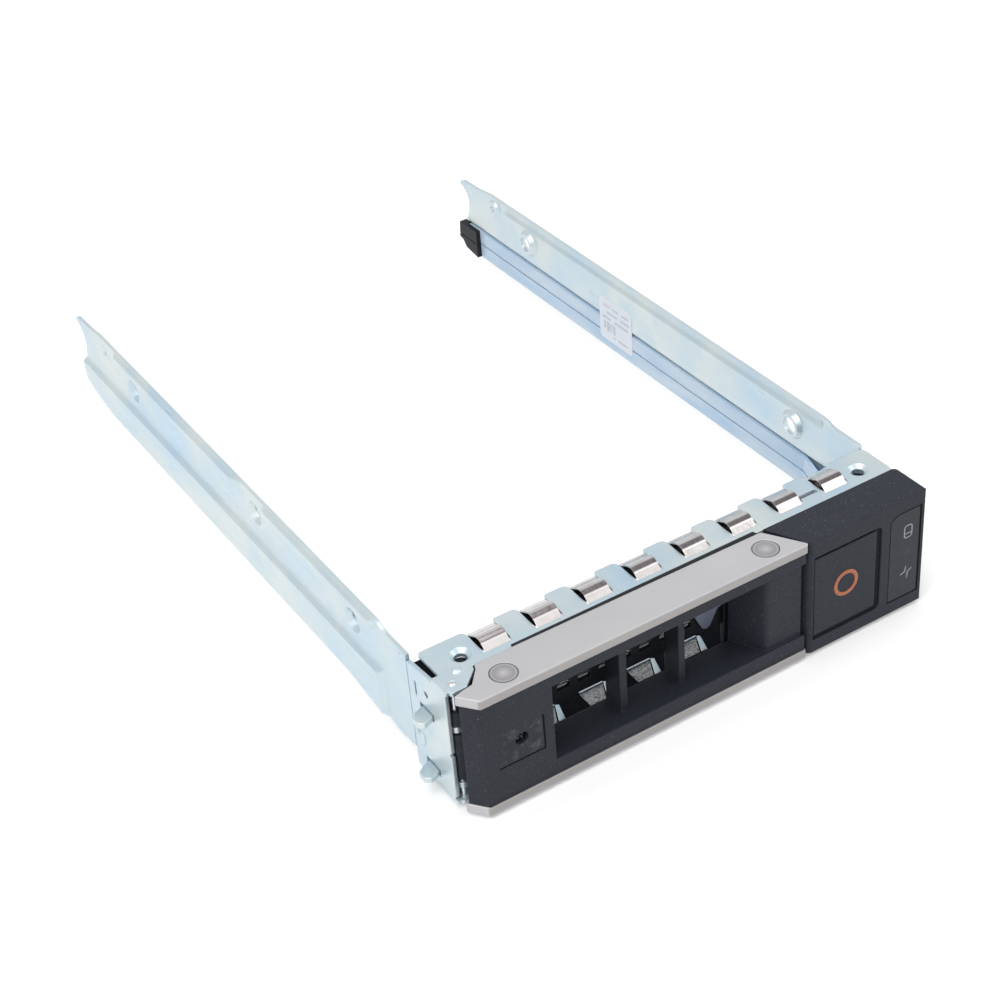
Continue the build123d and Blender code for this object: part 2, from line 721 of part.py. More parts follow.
def claw_outline():
    """A claw in plan: the eye round the pivot, the arm behind it and the rounded tooth outside."""
    tooth = outline([(bracket_left, bracket_front), (bracket_left + 3.0, bracket_front + 1.0),
                     (bracket_left - 1.1, claw_root_y + claw_thick), (wall_in, claw_root_y + claw_half),
                     (claw_tip_x + 1.4, claw_tip_y + claw_half), (claw_tip_x + 0.1, claw_tip_y + claw_half / 2),
                     (claw_tip_x + 0.1, claw_tip_y - claw_half / 2), (claw_tip_x + 1.1, claw_tip_y - claw_half),
                     (wall_in, claw_root_y - claw_half), (-0.5, claw_root_y - 1.4), (-0.45, pivot_y),
                     (pivot_x, pivot_y - eye_r)])
    return tooth + Pos(pivot_x, pivot_y) * Circle(eye_r)


def claw_clearance():
    """Room in the grip for a claw plate."""
    return offset(claw_outline(), fit_gap)


def lever_bracket():
    """The steel bracket behind the grip, with two claws that turn on the pivot pin."""
    piece = block(bracket_left, bracket_right, bracket_front, bracket_front + claw_thick,
                  bracket_low, bracket_high)
    for top in claw_tops:
        piece += plan(claw_outline(), top - claw_thick, top)
    piece -= rod_z(pivot_x, pivot_y, pivot_r + running_gap, -through, total_height)
    return piece - rod_y(lever_screw_x, lever_screw_z, lever_screw_r, 0, grip_back + 2 * through)


def lever_screw():
    screw = rod_y(lever_screw_x, lever_screw_z, lever_screw_head_r, lever_screw_front,
                  lever_screw_front + lever_screw_head)
    return screw + rod_y(lever_screw_x, lever_screw_z, lever_screw_r, lever_screw_front,
                         bracket_front + claw_thick)


def pivot_pin():
    pin = rod_z(pivot_x, pivot_y, pivot_r, total_height - flange_top, flange_top)
    return pin + cone_z(pivot_x, pivot_y, pivot_r, pivot_r * 0.6, flange_top, flange_top + 0.25)


def block_side_x(y):
    """X of the block's slanted left side."""
    return block_left - (y - block_front) * block_taper / block_run


def block_outline(back=flange_front):
    return outline([(block_left, block_front), (block_right, block_front), (block_right, back),
                    (block_side_x(back), back)])


def block_body():
    """The block's solid form, with a round front edge at the lever and a round back edge at the right."""
    face = block_outline()
    face = fillet(face.vertices().sort_by_distance((block_left, block_front))[0], block_front_corner)
    face = fillet(face.vertices().sort_by_distance((block_right, flange_front))[0], block_back_corner)
    return plan(face, block_low, block_high)


def bezel_block():
    """The moulded housing of the button and the lights, open at the back."""
    solid = block_body()
    back_of_face = block_front + block_face
    cavity = offset(block_outline(flange_front + 2 * block_wall), -block_wall)
    cavity = cavity & box_face(0, block_right, back_of_face, flange_front + through)
    cavity = cavity - box_face(*block_divider, 0, flange_front + 2 * through)
    body = solid - plan(cavity, block_low + block_wall, block_high - block_wall)
    recess = outline([(button_left - button_gap, recess_low), (recess_right, recess_low),
                      (recess_right, recess_high), (button_left - button_gap, recess_high)])
    recess = fillet(recess.vertices().sort_by(Axis.X)[-2:], recess_corner)
    body -= front(recess, -through, block_front + recess_deep)
    body -= block(button_left - button_gap, button_right + button_gap, -through, back_of_face + through,
                  button_low - button_gap, button_high + button_gap)
    lip_room = button_lip + 2 * button_gap
    lip_pocket = block(button_left - lip_room, block_divider[0], back_of_face,
                       back_of_face + lip_gap + button_lip_thick + button_travel + 2 * button_gap,
                       button_low - lip_room, button_high + lip_room)
    body -= lip_pocket & plan(offset(block_outline(), -0.35), 0, total_height)
    body -= front(pane_face(pane_line), -through, block_front + pane_thick)
    body -= block(lamp_x - 3.4, window_right - 0.8, block_front, back_of_face + through,
                  pane_low + lamp_room_x, pane_high - lamp_room_x)
    for x, z in block_screw_spots:
        body += rod_y(x, z, boss_r, back_of_face, flange_front) & solid
        body -= rod_y(x, z, block_screw_r, block_screw_front, flange_front + through)
    return body - block(block_side_x(slider_back) - through, slider_right, slider_front - slide_gap,
                        slider_back + slide_gap, nose_low - slide_gap, nose_high + slide_gap)


def pane_face(grow=0.0):
    """The window strip's outline with its clipped corner."""
    x0, x1 = window_left - grow, window_right + grow
    z0, z1 = pane_low - grow, pane_high + grow
    return outline([(x0, z0), (x1, z0), (x1, z1), (x0 + pane_clip_wide, z1), (x0, z1 - pane_clip_high)])


def indicator_window():
    return front(pane_face(), block_front + touch, block_front + pane_thick)


def release_button():
    """The hollow button cap with its retaining lip, the wedge and the spring's rib."""
    y0 = block_front
    body = block(button_left, button_right, y0, y0 + button_depth, button_low, button_high)
    lip_y = y0 + block_face + lip_gap
    body += block(button_left - button_lip, button_right + button_lip, lip_y, lip_y + button_lip_thick,
                  button_low - button_lip, button_high + button_lip)
    body -= block(button_left + button_wall, button_right - button_wall, y0 + button_wall,
                  y0 + button_depth + through, button_low + button_wall, button_high - button_wall)
    wedge = outline([(wedge_left, y0), (wedge_left, wedge_tip), (wedge_left + wedge_tip - y0, y0)])
    inside = y0 + button_wall / 2
    body += plan(wedge & box_face(0, block_right, inside, flange_front), wedge_low, wedge_high)
    rib_x = (leaf_left + leaf_right) / 2
    body += block(rib_x - button_wall, rib_x + button_wall, inside, leaf_apex() - leaf_thick,
                  leaf_low, leaf_high)
    groove = Pos(ring_x, ring_z) * (Circle(ring_out_r) - Circle(ring_in_r))
    return body - front(groove, y0 - through, y0 + ring_deep)


def button_ring():
    ring = Pos(ring_x, ring_z) * (Circle(ring_out_r - touch) - Circle(ring_in_r + touch))
    return front(ring, block_front + ring_sunk, block_front + ring_deep)


def leaf_apex():
    return flange_front - leaf_bow


def button_spring():
    """A bowed leaf whose feet rest on the web and whose crown carries the button's rib."""
    middle = (leaf_left + leaf_right) / 2
    back = ThreePointArc((leaf_left, flange_front), (middle, leaf_apex()), (leaf_right, flange_front))
    fore = ThreePointArc((leaf_right - 0.5, flange_front), (middle, leaf_apex() + leaf_thick),
                         (leaf_left + 0.5, flange_front))
    face = make_face([back, Line(back @ 1, fore @ 0), fore, Line(fore @ 1, back @ 0)])
    return plan(face, leaf_low, leaf_high)


def latch_slider():
    """The slider with its nose, pushed to the right by the button's wedge."""
    body = block(slider_left, slider_right, slider_front, slider_back, slider_low, slider_high)
    reach = wedge_tip + wedge_left + 2 * running_gap
    start = wedge_left - button_travel - 2 * slide_gap
    room = outline([(start, slider_front - through), (start, slider_back + through),
                    (reach - slider_back - through, slider_back + through),
                    (reach - slider_front + through, slider_front - through)])
    body -= plan(room, wedge_low - slide_gap, wedge_high + slide_gap)
    root = slider_left + nose_out
    nose = outline([(root, slider_front), (root, slider_back),
                    (block_side_x(slider_back) - nose_out, slider_back),
                    (block_side_x(slider_front) - nose_out, slider_front)])
    return body + plan(nose, nose_low, nose_high)


def lever_spring():
    """The flat leaf whose foot lies on the web and whose tongue reaches left behind the lever."""
    face = outline([
        (kick_right, kick_low), (kick_right, kick_high), (kick_tip_x - kick_half, kick_high),
        (kick_tip_x - kick_half, kick_wide_z), (kick_tip_x - kick_half / 3, kick_tip_z + 0.4),
        (kick_tip_x, kick_tip_z), (kick_tip_x + kick_half / 3, kick_tip_z + 0.4),
        (kick_tip_x + kick_half, kick_wide_z), (kick_left, kick_low),
    ])
    return front(face, flange_front - kick_thick, flange_front)


def bezel_screws():
    group = []
    for x, z in block_screw_spots:
        head = rod_y(x, z, block_screw_head_r, web_back, web_back + block_screw_head)
        group.append(head + rod_y(x, z, block_screw_r, block_screw_front, web_back))
    return Compound(group)


upper_strip = grounding_strip()
upper_plate = trim_plate()
pieces = {
    "front_frame": front_frame(),
    "vent_screen": vent_screen(),
    "left_rail": left_rail(),
    "right_rail": right_rail(),
    "rail_rivets": rail_rivets(),
    "upper_grounding_strip": upper_strip,
    "lower_grounding_strip": flip_z(upper_strip),
    "status_light_pipe": light_pipe(pipe_low, lamp_low_z),
    "activity_light_pipe": light_pipe(pipe_low + pipe_height + pipe_step, lamp_high_z),
    "light_pipe_holder": light_pipe_holder(),
    "rail_label": rail_label(),
    "pivot_pin": pivot_pin(),
    "lever_bracket": lever_bracket(),
    "lever_grip": lever_grip(),
    "upper_trim_plate": upper_plate,
    "lower_trim_plate": flip_z(upper_plate),
    "lever_rivets": lever_rivets(),
    "lever_screw": lever_screw(),
    "lever_spring": lever_spring(),
    "bezel_block": bezel_block(),
    "indicator_window": indicator_window(),
    "bezel_screws": bezel_screws(),
    "release_button": release_button(),
    "button_ring": button_ring(),
    "button_spring": button_spring(),
    "latch_slider": latch_slider(),
}

whole = Compound([solid for piece in pieces.values() for solid in piece.solids()]).bounding_box()
origin = Pos(-whole.center().X, -whole.center().Y, -whole.min.Z)
print("origin moved by", origin.position)
os.makedirs("parts", exist_ok=True)
for name, piece in pieces.items():
    export_step(origin * piece, f"parts/{name}.step")
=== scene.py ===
"""Looks of a hot swap drive caddy: finishes, small printed marks, studio light and the camera."""

import json
import math

import bmesh
import bpy
from mathutils import Matrix, Vector


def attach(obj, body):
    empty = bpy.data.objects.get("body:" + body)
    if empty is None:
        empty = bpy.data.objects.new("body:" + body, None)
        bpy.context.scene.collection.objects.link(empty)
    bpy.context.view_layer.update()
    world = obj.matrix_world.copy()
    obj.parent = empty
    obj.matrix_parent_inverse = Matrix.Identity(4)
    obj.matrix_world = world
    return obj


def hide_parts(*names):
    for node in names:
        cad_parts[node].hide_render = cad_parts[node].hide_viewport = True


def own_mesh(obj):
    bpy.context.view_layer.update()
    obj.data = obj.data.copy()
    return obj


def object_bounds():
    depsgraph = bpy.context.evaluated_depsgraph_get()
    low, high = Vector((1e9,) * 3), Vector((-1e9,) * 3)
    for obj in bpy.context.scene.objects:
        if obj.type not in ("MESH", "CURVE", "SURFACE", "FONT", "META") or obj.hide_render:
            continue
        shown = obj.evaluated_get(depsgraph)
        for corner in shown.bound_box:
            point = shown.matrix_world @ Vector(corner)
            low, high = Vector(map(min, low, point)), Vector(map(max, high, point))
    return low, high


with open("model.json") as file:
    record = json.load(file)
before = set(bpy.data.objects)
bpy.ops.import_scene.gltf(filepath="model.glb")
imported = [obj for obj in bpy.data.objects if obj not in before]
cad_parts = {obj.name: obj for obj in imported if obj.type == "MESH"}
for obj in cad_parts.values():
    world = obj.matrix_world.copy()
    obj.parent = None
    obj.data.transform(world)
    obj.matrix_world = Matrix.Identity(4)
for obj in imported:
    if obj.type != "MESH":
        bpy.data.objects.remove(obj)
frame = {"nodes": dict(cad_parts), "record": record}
cad_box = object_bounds()

# The camera stands where it stood for the photograph: its place in metres in the shared frame, its
# axes, and its focal length and sensor in millimetres
CAMERA_PLACE = (-0.170535, -0.315795, 0.257957)
CAMERA_RIGHT = (0.84135861, -0.5356804, -0.07184839)
CAMERA_UP = (0.36434904, 0.46395849, 0.8074604)
CAMERA_AHEAD = (0.39920604, 0.70554165, -0.58553011)
LENS, SENSOR = 71.77, 36.0

# Where the drawing's zero lies in the shared frame, in millimetres
DRAWING_ZERO = (-50.6, -87.1, 0.550067)

# Places on the CAD model, in the drawing's millimetres
RIVET_SPOTS = ((9.3, 3.9), (67.6, 3.8))
RIVET_RADIUS = 2.65
GRIP_SCREW = (9.8, 14.7)
BUTTON_CENTRE = (84.65, 13.75)
BLOCK_FRONT, PANE_FRONT = 0.3, 0.32
ARM_INSIDE, LABEL_THICK = 104.4, 0.12
FLANGE_HOLES = (("hole_shade_left", 6.0), ("hole_shade_right", 98.2))
CROWN_FRONT, CROWN_BACK = 12.2, 15.4

# How far a printed mark stands off its surface, in millimetres
PRINT_LIFT = 0.012

# What metal sees of the room: white low down, a dark ceiling behind and a bright one in front
SKY_LOW, SKY_FRONT, SKY_DARK = 0.86, 0.30, 0.36
SKY_AWAY = (0.4924, 0.8704, 0.0)

# The light that dull surfaces get from the room, and the floor's colour and glow
ROOM_LIGHT = 0.42
FLOOR_GREY, FLOOR_GLOW = 0.86, 0.27


def at(x, y, z):
    """A point of the drawing, in millimetres, as metres in the shared frame."""
    return Vector([(value + zero) / 1000 for value, zero in zip((x, y, z), DRAWING_ZERO)])


def new_material(name):
    """A material, its node tree and its principled shader."""
    material = bpy.data.materials.new(name)
    material.use_nodes = True
    tree = material.node_tree
    return material, tree, tree.nodes["Principled BSDF"]


def colour_from(tree, shader, colour):
    """Feeds the shader's colour."""
    tree.links.new(colour, shader.inputs["Base Color"])


def object_space(tree, scale=(1, 1, 1)):
    """Coordinates in metres in the shared frame, stretched by scale."""
    where = tree.nodes.new("ShaderNodeTexCoord")
    mapping = tree.nodes.new("ShaderNodeMapping")
    mapping.inputs["Scale"].default_value = scale
    tree.links.new(where.outputs["Object"], mapping.inputs["Vector"])
    return mapping.outputs["Vector"]


def noise(tree, vector, scale, detail, roughness):
    """A noise value between 0 and 1."""
    node = tree.nodes.new("ShaderNodeTexNoise")
    node.inputs["Scale"].default_value = scale
    node.inputs["Detail"].default_value = detail
    node.inputs["Roughness"].default_value = roughness
    tree.links.new(vector, node.inputs["Vector"])
    return node.outputs["Fac"]


def ramp(tree, fac, stops):
    """A colour ramp; stops are (place, colour) with linear colours."""
    node = tree.nodes.new("ShaderNodeValToRGB")
    elements = node.color_ramp.elements
    while len(elements) < len(stops):
        elements.new(0.5)
    for element, (place, colour) in zip(elements, stops):
        element.position = place
        element.color = (*colour, 1)
    tree.links.new(fac, node.inputs["Fac"])
    return node.outputs["Color"]


def spread(tree, fac, low, high, from_low=0.3, from_high=0.7):
    """Carries a value from one range to another."""
    node = tree.nodes.new("ShaderNodeMapRange")
    node.inputs["From Min"].default_value = from_low
    node.inputs["From Max"].default_value = from_high
    node.inputs["To Min"].default_value = low
    node.inputs["To Max"].default_value = high
    tree.links.new(fac, node.inputs["Value"])
    return node.outputs["Result"]


def maths(tree, operation, a, b):
    """The result of one operation on two values, each a number or a socket."""
    node = tree.nodes.new("ShaderNodeMath")
    node.operation = operation
    for socket, value in zip(node.inputs, (a, b)):
        if isinstance(value, (int, float)):
            socket.default_value = value
        else:
            tree.links.new(value, socket)
    return node.outputs["Value"]


def mix(tree, fac, a, b):
    """Colour b mixed into a by the socket fac; a plain colour is a tuple, any other is a socket."""
    node = tree.nodes.new("ShaderNodeMix")
    node.data_type = "RGBA"
    for name, value in (("Factor", fac), ("A", a), ("B", b)):
        socket = [s for s in node.inputs if s.name == name and s.enabled][0]
        if isinstance(value, tuple):
            socket.default_value = (*value, 1)
        else:
            tree.links.new(value, socket)
    return [s for s in node.outputs if s.enabled][0]


def tinted(tree, a, b):
    """The product of two colours."""
    node = tree.nodes.new("ShaderNodeMix")
    node.data_type, node.blend_type = "RGBA", "MULTIPLY"
    sockets = {s.name: s for s in node.inputs if s.enabled}
    sockets["Factor"].default_value = 1.0
    tree.links.new(a, sockets["A"])
    tree.links.new(b, sockets["B"])
    return [s for s in node.outputs if s.enabled][0]


def within(tree, low, high, soft):
    """A mask that is 1 inside a box of the drawing and fades out over a soft border, all in millimetres."""
    parts = tree.nodes.new("ShaderNodeSeparateXYZ")
    tree.links.new(object_space(tree), parts.inputs["Vector"])
    mask = None
    for axis, first, last in zip("XYZ", at(*low), at(*high)):
        rise = spread(tree, parts.outputs[axis], 0.0, 1.0, first - soft / 1000, first + soft / 1000)
        fall = spread(tree, parts.outputs[axis], 1.0, 0.0, last - soft / 1000, last + soft / 1000)
        both = maths(tree, "MULTIPLY", rise, fall)
        mask = both if mask is None else maths(tree, "MULTIPLY", mask, both)
    return mask


def bump(tree, height, strength, distance, normal=None):
    """A normal pushed about by height, over the given normal where there is one."""
    node = tree.nodes.new("ShaderNodeBump")
    node.inputs["Strength"].default_value = strength
    node.inputs["Distance"].default_value = distance
    tree.links.new(height, node.inputs["Height"])
    if normal is not None:
        tree.links.new(normal, node.inputs["Normal"])
    return node.outputs["Normal"]


def soft_edges(tree, radius):
    """A normal that rounds sharp edges off, and a mask that is 1 on them."""
    bevel = tree.nodes.new("ShaderNodeBevel")
    bevel.samples = 6
    bevel.inputs["Radius"].default_value = radius
    surface = tree.nodes.new("ShaderNodeNewGeometry")
    dot = tree.nodes.new("ShaderNodeVectorMath")
    dot.operation = "DOT_PRODUCT"
    tree.links.new(bevel.outputs["Normal"], dot.inputs[0])
    tree.links.new(surface.outputs["Normal"], dot.inputs[1])
    edge = spread(tree, dot.outputs["Value"], 1.0, 0.0, 0.8, 0.99)
    return bevel.outputs["Normal"], edge


def zinc_steel():
    """Bright zinc plate on folded sheet: pale blue with faint warm clouds and fine rolling lines."""
    material, tree, shader = new_material("zinc_steel")
    place = object_space(tree)
    along = object_space(tree, (1, 0.06, 1))
    clouds = noise(tree, place, 38, 4, 0.55)
    lines = noise(tree, along, 900, 2, 0.6)
    speck = noise(tree, place, 1600, 2, 0.7)
    tint = ramp(tree, clouds, [(0.30, (0.46, 0.63, 0.78)), (0.46, (0.56, 0.67, 0.73)),
                               (0.60, (0.66, 0.72, 0.72)), (0.75, (0.50, 0.64, 0.74))])
    normal, edge = soft_edges(tree, 0.00025)
    # Painted highlight: sharp edges are mixed towards a pale blue
    colour = mix(tree, maths(tree, "MULTIPLY", edge, 0.6), tint, (0.86, 0.90, 0.93))
    colour_from(tree, shader, colour)
    shader.inputs["Metallic"].default_value = 0.7
    rough = maths(tree, "ADD", spread(tree, lines, 0.24, 0.36), spread(tree, clouds, 0.0, 0.08))
    tree.links.new(rough, shader.inputs["Roughness"])
    grain = maths(tree, "ADD", lines, maths(tree, "MULTIPLY", speck, 0.5))
    tree.links.new(bump(tree, grain, 0.10, 0.00004, normal), shader.inputs["Normal"])
    return material


def spring_steel():
    """Polished thin strip with faint lengthwise lines and a painted reflection: a dark band over the fingers'
    crown.
    """
    material, tree, shader = new_material("spring_steel")
    along = object_space(tree, (1, 0.05, 1))
    lines = noise(tree, along, 1400, 2, 0.6)
    stains = noise(tree, object_space(tree), 210, 3, 0.5)
    stained = ramp(tree, stains, [(0.3, (0.76, 0.75, 0.74)), (0.55, (0.86, 0.85, 0.84)),
                                  (0.8, (0.74, 0.71, 0.68))])
    parts = tree.nodes.new("ShaderNodeSeparateXYZ")
    tree.links.new(object_space(tree), parts.inputs["Vector"])
    # The dark band, a painted reflection, lies between these two places of the fingers
    low, high = at(0, CROWN_FRONT, 0).y, at(0, CROWN_BACK, 0).y
    painted_reflection_band = ramp(tree, spread(tree, parts.outputs["Y"], 0.0, 1.0, low, high),
                 [(0.0, (1.0, 0.97, 0.97)), (0.20, (1.0, 0.97, 0.97)), (0.28, (0.34, 0.31, 0.32)),
                  (0.48, (0.38, 0.35, 0.37)), (0.60, (0.74, 0.72, 0.74)), (1.0, (0.80, 0.79, 0.80))])
    colour = tinted(tree, stained, painted_reflection_band)
    normal, _ = soft_edges(tree, 0.00008)
    colour_from(tree, shader, colour)
    shader.inputs["Metallic"].default_value = 1.0
    tree.links.new(spread(tree, lines, 0.10, 0.22), shader.inputs["Roughness"])
    tree.links.new(bump(tree, lines, 0.08, 0.00003, normal), shader.inputs["Normal"])
    return material


def satin_metal():
    """Warm satin nickel with a fine blasted grain, and painted shade on the front faces."""
    material, tree, shader = new_material("satin_metal")
    place = object_space(tree)
    grain = noise(tree, place, 2600, 2, 0.7)
    clouds = noise(tree, place, 45, 3, 0.5)
    colour = ramp(tree, clouds, [(0.3, (0.53, 0.53, 0.55)), (0.7, (0.59, 0.585, 0.60))])
    # Painted shade: the trim's front faces are coloured darker than its top
    shaded_rim_colour = ramp(tree, clouds, [(0.3, (0.36, 0.345, 0.34)), (0.7, (0.41, 0.395, 0.39))])
    normal, edge = soft_edges(tree, 0.0003)
    front_rim_shade = within(tree, (-9.0, -9.0, 0.3), (99.0, 0.35, 27.6), 0.12)
    colour = mix(tree, front_rim_shade, colour, shaded_rim_colour)
    colour = mix(tree, maths(tree, "MULTIPLY", edge, 0.35), colour, (0.80, 0.79, 0.79))
    colour_from(tree, shader, colour)
    shader.inputs["Metallic"].default_value = 0.6
    tree.links.new(spread(tree, grain, 0.34, 0.44), shader.inputs["Roughness"])
    tree.links.new(bump(tree, grain, 0.25, 0.00003, normal), shader.inputs["Normal"])
    return material


def turned_metal():
    """The flush rivet heads: the trim's metal with turned rings, and painted shade that darkens it towards
    the rim.
    """
    material, tree, shader = new_material("turned_metal")
    grain = noise(tree, object_space(tree), 1800, 3, 0.7)
    radius = None
    for x, y in RIVET_SPOTS:
        away = tree.nodes.new("ShaderNodeVectorMath")
        away.operation = "DISTANCE"
        tree.links.new(object_space(tree, (1, 1, 0)), away.inputs[0])
        centre = at(x, y, 0)
        away.inputs[1].default_value = (centre.x, centre.y, 0)
        near = away.outputs["Value"]
        radius = near if radius is None else maths(tree, "MINIMUM", radius, near)
    # Painted shade: light in the middle of each head, darker outwards, with a dark line at its rim
    colour = ramp(tree, spread(tree, radius, 0.0, 1.0, 0.0, RIVET_RADIUS / 1000),
                  [(0.0, (0.58, 0.56, 0.57)), (0.35, (0.44, 0.43, 0.44)), (0.70, (0.34, 0.33, 0.35)),
                   (0.88, (0.46, 0.45, 0.47)), (0.97, (0.12, 0.12, 0.13))])
    colour_from(tree, shader, colour)
    shader.inputs["Metallic"].default_value = 0.6
    tree.links.new(spread(tree, grain, 0.28, 0.42), shader.inputs["Roughness"])
    rings = maths(tree, "ADD", maths(tree, "MULTIPLY", radius, 160.0), maths(tree, "MULTIPLY", grain, 0.3))
    tree.links.new(bump(tree, rings, 0.25, 0.00006), shader.inputs["Normal"])
    return material


def bright_steel():
    """Plain bright steel for rivets, pin and screws."""
    material, tree, shader = new_material("bright_steel")
    place = object_space(tree)
    marks = noise(tree, place, 900, 3, 0.6)
    colour = ramp(tree, marks, [(0.3, (0.60, 0.64, 0.67)), (0.7, (0.74, 0.77, 0.79))])
    normal, _ = soft_edges(tree, 0.0002)
    colour_from(tree, shader, colour)
    shader.inputs["Metallic"].default_value = 1.0
    tree.links.new(spread(tree, marks, 0.2, 0.34), shader.inputs["Roughness"])
    tree.links.new(bump(tree, marks, 0.12, 0.00003, normal), shader.inputs["Normal"])
    return material


def moulded(name, base, pale, rough_low, rough_high, speckle, scuffed=False):
    """A moulded plastic with fine grain, pale worn edges, dust specks and, if scuffed, one worn field."""
    worn = tuple(min(1, 2.6 * channel) for channel in pale)
    material, tree, shader = new_material(name)
    place = object_space(tree)
    grain = noise(tree, place, 2200, 2, 0.65)
    clouds = noise(tree, place, 60, 4, 0.6)
    dust = spread(tree, noise(tree, place, 3100, 2, 0.8), 0.0, speckle, 0.66, 0.74)
    normal, edge = soft_edges(tree, 0.00035)
    colour = mix(tree, spread(tree, clouds, 0.0, 0.35), base, pale)
    colour = mix(tree, maths(tree, "MULTIPLY", edge, 0.25), colour, worn)
    colour = mix(tree, dust, colour, (0.45, 0.46, 0.48))
    height = grain
    if scuffed:
        # The scuffed field lies round the grip's screw
        field = within(tree, (5.0, -1.0, 9.9), (14.0, 1.0, 17.7), 0.35)
        smears = spread(tree, noise(tree, place, 420, 5, 0.75), 0.0, 0.5, 0.50, 0.70)
        colour = mix(tree, maths(tree, "MULTIPLY", field, smears), colour, (0.16, 0.17, 0.19))
        coarse = maths(tree, "MULTIPLY", noise(tree, place, 800, 3, 0.7), maths(tree, "MULTIPLY", field, 3.0))
        height = maths(tree, "ADD", grain, coarse)
    colour_from(tree, shader, colour)
    tree.links.new(spread(tree, grain, rough_low, rough_high), shader.inputs["Roughness"])
    shader.inputs["Specular IOR Level"].default_value = 0.2
    tree.links.new(bump(tree, height, 0.35, 0.00005, normal), shader.inputs["Normal"])
    return material


def clear_plastic():
    """The light guides: clear, with a faint cold tint and soft moulding ripples."""
    material, tree, shader = new_material("clear_plastic")
    ripple = noise(tree, object_space(tree, (1, 0.2, 1)), 260, 3, 0.5)
    colour = ramp(tree, ripple, [(0.3, (0.50, 0.70, 0.92)), (0.7, (0.70, 0.82, 0.94))])
    normal, _ = soft_edges(tree, 0.0002)
    colour_from(tree, shader, colour)
    tree.links.new(spread(tree, ripple, 0.08, 0.2), shader.inputs["Roughness"])
    shader.inputs["IOR"].default_value = 1.49
    shader.inputs["Transmission Weight"].default_value = 0.12
    tree.links.new(bump(tree, ripple, 0.1, 0.0001, normal), shader.inputs["Normal"])
    return material


# Plain finishes: noise scale, detail and roughness, the ramp's stops, and the shader's own values
PLAIN_FINISHES = {
    # thin pale ink of the marks in front of the lights
    "pale_print": ((2400, 2, 0.6), [(0.3, (0.26, 0.28, 0.32)), (0.7, (0.40, 0.42, 0.46))],
                   {"Roughness": 0.55}),
    # faint grey ink of the label's plain fields
    "grey_print": ((1500, 3, 0.7), [(0.35, (0.50, 0.55, 0.66)), (0.7, (0.68, 0.72, 0.80))],
                   {"Roughness": 0.5}),
    # a dot barely lighter than the smoked strip
    "faint_print": ((1300, 3, 0.7), [(0.3, (0.042, 0.046, 0.056)), (0.7, (0.056, 0.060, 0.070))],
                    {"Roughness": 0.5, "Specular IOR Level": 0.2}),
    # painted shade: the unlit seam round the light strip, and dark films in other places in deep shade
    "painted_shade_black": ((900, 2, 0.5), [(0.3, (0.004, 0.005, 0.007)), (0.7, (0.008, 0.009, 0.012))],
                   {"Roughness": 0.9, "Specular IOR Level": 0.1}),
    # the dull film behind the vent slots
    "grey_film": ((500, 3, 0.6), [(0.3, (0.50, 0.51, 0.54)), (0.7, (0.62, 0.63, 0.66))],
                  {"Roughness": 0.6}),
    # blued steel of the leaf behind the lever's right window
    "leaf_steel": ((260, 3, 0.5), [(0.3, (0.14, 0.17, 0.23)), (0.7, (0.20, 0.24, 0.31))],
                   {"Metallic": 0.4, "Roughness": 0.5}),
}


def plain(name):
    """A new material of one of the plain finishes."""
    grain, stops, values = PLAIN_FINISHES[name]
    material, tree, shader = new_material(name)
    colour_from(tree, shader, ramp(tree, noise(tree, object_space(tree), *grain), stops))
    for socket, value in values.items():
        shader.inputs[socket].default_value = value
    return material


def tab_steel():
    """Dull speckled steel of the tabs inside."""
    material, tree, shader = new_material("tab_steel")
    speckle = noise(tree, object_space(tree), 2600, 2, 0.7)
    colour = ramp(tree, speckle, [(0.36, (0.10, 0.105, 0.11)), (0.62, (0.42, 0.43, 0.44))])
    colour_from(tree, shader, colour)
    shader.inputs["Metallic"].default_value = 0.5
    tree.links.new(spread(tree, speckle, 0.35, 0.55), shader.inputs["Roughness"])
    return material


def screw_black():
    """Glossy black of the screw head in the grip."""
    material, tree, shader = new_material("screw_black")
    marks = noise(tree, object_space(tree), 1200, 3, 0.6)
    colour = ramp(tree, marks, [(0.3, (0.012, 0.013, 0.016)), (0.7, (0.022, 0.024, 0.028))])
    colour_from(tree, shader, colour)
    tree.links.new(spread(tree, marks, 0.1, 0.2), shader.inputs["Roughness"])
    tree.links.new(bump(tree, marks, 0.5, 0.0001), shader.inputs["Normal"])
    return material


def label_paper():
    """White film label with a slight sheen."""
    material, tree, shader = new_material("label_paper")
    fibre = noise(tree, object_space(tree), 1800, 3, 0.6)
    colour = ramp(tree, fibre, [(0.3, (0.76, 0.80, 0.88)), (0.7, (0.84, 0.87, 0.94))])
    colour_from(tree, shader, colour)
    tree.links.new(spread(tree, fibre, 0.35, 0.5), shader.inputs["Roughness"])
    tree.links.new(bump(tree, fibre, 0.15, 0.00003), shader.inputs["Normal"])
    return material


def copper_ring():
    """Copper coloured ring moulded into the button."""
    material, tree, shader = new_material("copper_ring")
    flow = noise(tree, object_space(tree), 1500, 3, 0.6)
    colour = ramp(tree, flow, [(0.3, (0.40, 0.115, 0.045)), (0.7, (0.54, 0.17, 0.07))])
    colour_from(tree, shader, colour)
    tree.links.new(spread(tree, flow, 0.3, 0.42), shader.inputs["Roughness"])
    tree.links.new(bump(tree, flow, 0.2, 0.00003), shader.inputs["Normal"])
    return material


